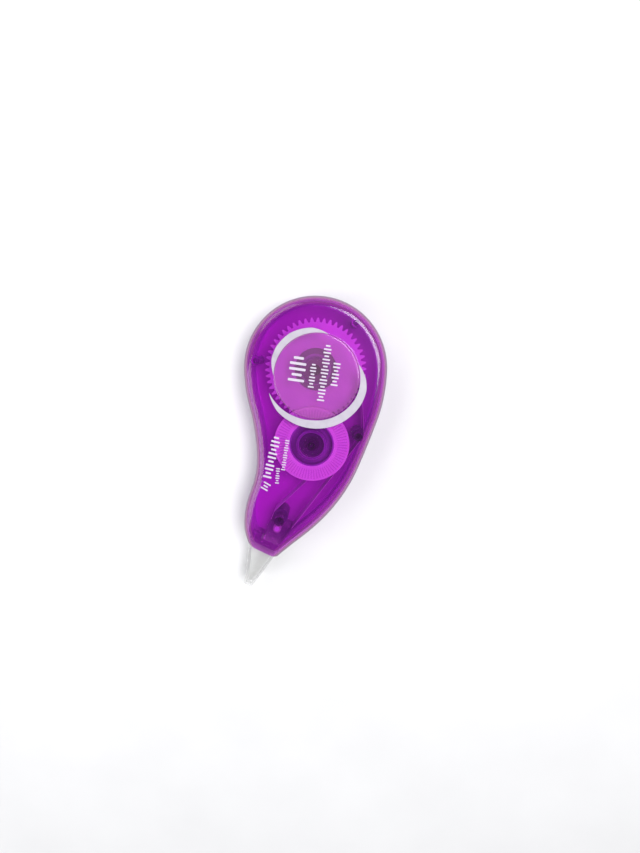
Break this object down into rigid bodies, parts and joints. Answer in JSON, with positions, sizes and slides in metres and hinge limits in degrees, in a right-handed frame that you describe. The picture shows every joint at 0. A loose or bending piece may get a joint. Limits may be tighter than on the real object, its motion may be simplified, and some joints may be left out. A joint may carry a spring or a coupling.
{
  "type": "correction tape roller",
  "caption": "Teardrop hand-held correction tape roller: translucent case, geared supply and take-up reels, tape loop over a wedge applicator tip, push-on cap.",
  "frame": {"origin": "centre of the plan bounding box, on the rear face plane, with the roller lying on its rear face", "axes": "+Z out of the printed front face, +Y from the nose towards the round end, +X to the right seen from the front"},
  "size_m": [0.0404, 0.0858, 0.0142],
  "materials": {
    "tinted_shell": "polished, translucent purple",
    "gear_plastic": "moulded, light purple",
    "disc_plastic": "moulded, pink purple",
    "reel_plastic": "moulded, pink purple",
    "core_plastic": "moulded, mid purple",
    "clutch_plastic": "moulded, dark",
    "roller_plastic": "moulded, dark purple",
    "coated_tape": "matt white",
    "backing_tape": "smooth glassine",
    "clear_plastic": "translucent, uncoloured",
    "cap_plastic": "clear, uncoloured"
  },
  "bodies": {
    "case": {"rear_shell": "tinted_shell", "front_shell": "tinted_shell", "applicator_head": "clear_plastic", "feed_tape": "coated_tape", "return_tape": "backing_tape"},
    "gear": {"supply_gear": "gear_plastic", "clutch_spring": "clutch_plastic"},
    "spool": {"supply_core": "core_plastic", "supply_tape_coil": "coated_tape"},
    "take_up": {"take_up_reel": "reel_plastic", "take_up_disc": "disc_plastic", "take_up_tape_coil": "backing_tape"},
    "feed_guide": {"feed_roller": "roller_plastic"},
    "return_guide": {"return_roller": "roller_plastic"},
    "cap": {"tip_cap": "cap_plastic"}
  },
  "joints": [
    {"name": "supply_spin", "type": "hinge", "parent": "case", "child": "gear", "pos_m": [0.00062, 0.02326, 0.008], "axis": [0, 0, 1], "continuous": true},
    {"name": "core_slip", "type": "hinge", "parent": "gear", "child": "spool", "pos_m": [0.00062, 0.02326, 0.008], "axis": [0, 0, 1], "continuous": true},
    {"name": "take_up_spin", "type": "hinge", "parent": "case", "child": "take_up", "pos_m": [-0.00012, 0.00222, 0.008], "axis": [0, 0, 1], "continuous": true},
    {"name": "cap_slide", "type": "slide", "parent": "case", "child": "cap", "axis": [-0.4226, -0.9063, 0], "range_m": [0, 0.016]},
    {"name": "feed_roller_spin", "type": "hinge", "parent": "case", "child": "feed_guide", "pos_m": [0.01292, 0.00496, 0.005], "axis": [0, 0, 1], "continuous": true},
    {"name": "return_roller_spin", "type": "hinge", "parent": "case", "child": "return_guide", "pos_m": [-0.00908, -0.02024, 0.005], "axis": [0, 0, 1], "continuous": true}
  ],
  "couplings": [
    {"joint": "take_up_spin", "follows": "supply_spin", "ratio": -1.7857}
  ]
}
